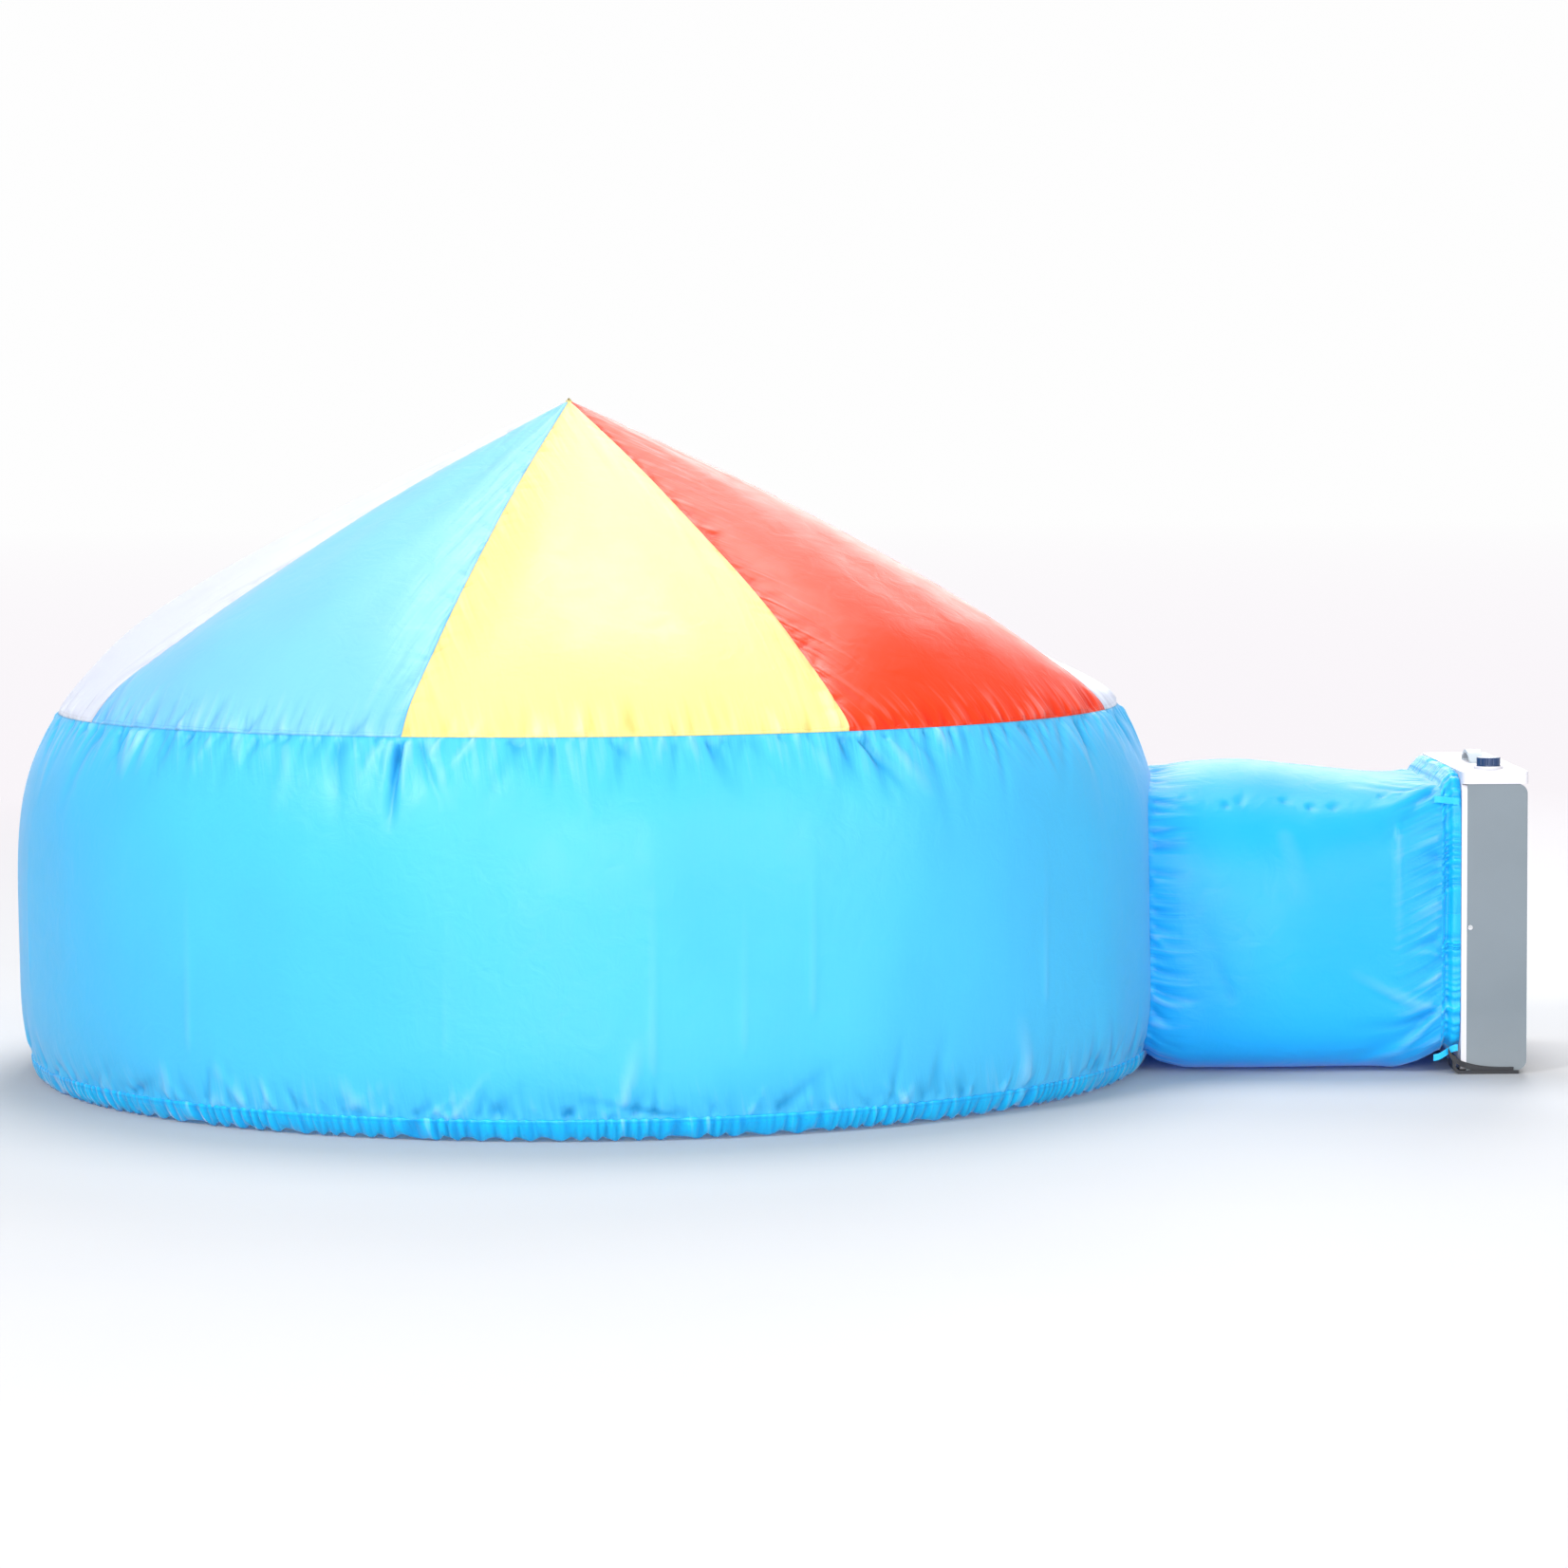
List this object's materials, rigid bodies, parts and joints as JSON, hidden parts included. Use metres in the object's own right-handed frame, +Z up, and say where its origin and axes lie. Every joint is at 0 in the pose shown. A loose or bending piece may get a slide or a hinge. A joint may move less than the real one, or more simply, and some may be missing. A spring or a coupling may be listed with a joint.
{
  "type": "inflatable play tent",
  "caption": "Air-inflated dome play tent with coloured roof gores and a gathered hem, blown up by a box fan through a short fabric tunnel.",
  "frame": {"origin": "on the floor, under the middle of the whole object's box", "axes": "+Z up, +X from the dome towards the fan, +Y towards the back wall with the doorway"},
  "size_m": [2.7608, 2.1147, 1.232],
  "materials": {
    "sky_cloth": "thin plain-weave nylon, translucent, slight sheen",
    "deep_sky_cloth": "gathered double layer of the same nylon, darker",
    "pale_blue_cloth": "thin plain-weave nylon, translucent",
    "lemon_cloth": "thin plain-weave nylon, translucent",
    "coral_cloth": "thin plain-weave nylon, translucent",
    "white_cloth": "thin plain-weave nylon, translucent",
    "seam_tape": "narrow woven binding tape",
    "hook_and_loop": "hook-and-loop fastening strip",
    "elastic": "woven elastic band",
    "grey_steel": "grey enamelled sheet steel, satin",
    "white_plastic": "moulded white plastic, semi-gloss",
    "pale_plastic": "moulded pale plastic",
    "grey_plastic": "moulded grey plastic",
    "navy_plastic": "moulded navy plastic, semi-gloss",
    "black_plastic": "moulded black plastic",
    "bare_steel": "bright sheet steel",
    "copper_winding": "lacquered copper winding",
    "bearing_bronze": "sintered bronze"
  },
  "bodies": {
    "tent": {"gore_blue_front_left": "pale_blue_cloth", "gore_yellow_front": "lemon_cloth", "gore_red_front_right": "coral_cloth", "gore_white_right": "white_cloth", "gore_blue_back_right": "pale_blue_cloth", "gore_yellow_back": "lemon_cloth", "gore_red_back_left": "coral_cloth", "gore_white_left": "white_cloth", "gore_seam_tapes": "seam_tape", "eave_seam_tape": "seam_tape", "wall_front": "sky_cloth", "wall_right_inlet": "sky_cloth", "wall_back_doorway": "sky_cloth", "wall_left": "sky_cloth", "wall_seam_tapes": "seam_tape", "hem_casing": "deep_sky_cloth", "hem_elastic": "elastic", "doorway_binding": "seam_tape", "hook_tapes": "hook_and_loop", "flap_hinge_binding": "deep_sky_cloth", "inlet_seam_tape": "seam_tape", "tunnel_top": "sky_cloth", "tunnel_near_side": "sky_cloth", "tunnel_far_side": "sky_cloth", "tunnel_floor": "sky_cloth", "fan_collar": "deep_sky_cloth", "collar_elastic": "elastic", "corner_ties": "seam_tape", "fan_case": "grey_steel", "fan_top_cover": "white_plastic", "front_grille": "white_plastic", "rear_grille": "white_plastic", "blade_shroud": "bare_steel", "motor_bracket": "bare_steel", "motor_front_shell": "bare_steel", "motor_rear_shell": "bare_steel", "motor_stator": "copper_winding", "motor_bearings": "bearing_bronze", "rotary_switch": "black_plastic", "dial_ring": "white_plastic", "run_capacitor": "black_plastic", "carry_handle": "grey_plastic", "fan_foot_near": "black_plastic", "fan_foot_far": "black_plastic", "case_screws": "bare_steel", "cord_gland": "black_plastic"},
    "peak": {"peak_patch": "white_cloth"},
    "door_flap": {"door_flap": "sky_cloth", "loop_tapes": "hook_and_loop"},
    "blade": {"fan_blade": "pale_plastic", "motor_shaft": "bare_steel", "motor_rotor": "bare_steel", "blade_lock_nut": "black_plastic"},
    "knob": {"speed_knob": "navy_plastic"}
  },
  "joints": [
    {"name": "peak_sink", "type": "slide", "parent": "tent", "child": "peak", "axis": [0, 0, -1], "range_m": [0, 0.3], "stiffness_N_per_m": 150, "springref_m": -0.01},
    {"name": "door_flap_swing", "type": "hinge", "parent": "tent", "child": "door_flap", "pos_m": [-0.0455, 1.02095, 0.33], "axis": [0, 0, -1], "range_deg": [0, 100]},
    {"name": "blade_spin", "type": "hinge", "parent": "tent", "child": "blade", "pos_m": [1.3095, 0, 0.2665], "axis": [1, 0, 0], "continuous": true},
    {"name": "speed_knob_turn", "type": "hinge", "parent": "tent", "child": "knob", "pos_m": [1.32, -0.175, 0.549], "axis": [0, 0, 1], "range_deg": [0, 135]}
  ]
}
